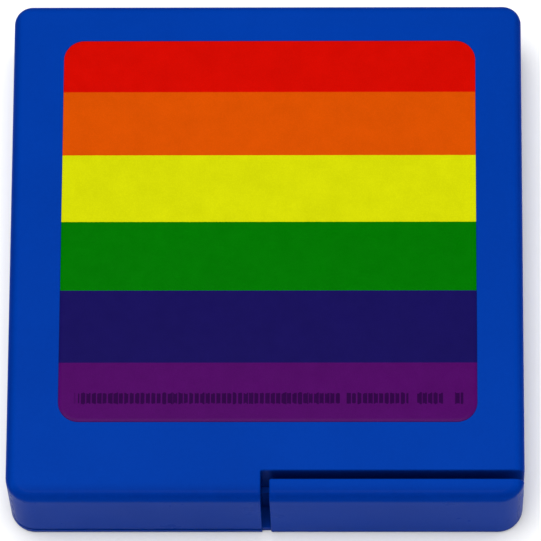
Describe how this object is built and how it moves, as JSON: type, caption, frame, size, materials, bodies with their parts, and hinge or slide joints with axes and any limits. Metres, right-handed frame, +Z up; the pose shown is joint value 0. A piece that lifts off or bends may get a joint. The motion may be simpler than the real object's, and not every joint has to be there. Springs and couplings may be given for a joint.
{
  "type": "ink pad",
  "caption": "Square hinged plastic case holding a tray of coloured cloth-covered ink strips for rubber stamping, with a colour-banded label on its lid.",
  "frame": {"origin": "centre of the closed case's bounding box, on its underside", "axes": "+Z up out of the lid; +X to the right and -Y towards the user when the label is upright; the hinge is at +Y"},
  "size_m": [0.083, 0.0874, 0.018],
  "materials": {
    "case_blue": "satin",
    "label_print": "satin",
    "pin_steel": "satin",
    "tray_white": "satin",
    "divider_white": "satin",
    "foam": "matte",
    "cloth_red": "matte",
    "cloth_orange": "matte",
    "cloth_yellow": "matte",
    "cloth_green": "matte",
    "cloth_blue": "matte",
    "cloth_purple": "matte"
  },
  "bodies": {
    "base": {"base_shell": "case_blue", "ink_tray": "tray_white", "hinge_pin_left": "pin_steel", "hinge_pin_right": "pin_steel", "divider_1": "divider_white", "divider_2": "divider_white", "divider_3": "divider_white", "divider_4": "divider_white", "divider_5": "divider_white", "foam_red": "foam", "foam_orange": "foam", "foam_yellow": "foam", "foam_green": "foam", "foam_blue": "foam", "foam_purple": "foam", "cloth_red": "cloth_red", "cloth_orange": "cloth_orange", "cloth_yellow": "cloth_yellow", "cloth_green": "cloth_green", "cloth_blue": "cloth_blue", "cloth_purple": "cloth_purple"},
    "lid": {"lid_shell": "case_blue", "label": "label_print"}
  },
  "joints": [
    {"name": "lid_hinge", "type": "hinge", "parent": "base", "child": "lid", "pos_m": [0, 0.04147, 0.009], "axis": [-1, 0, 0], "range_deg": [0, 180]}
  ]
}
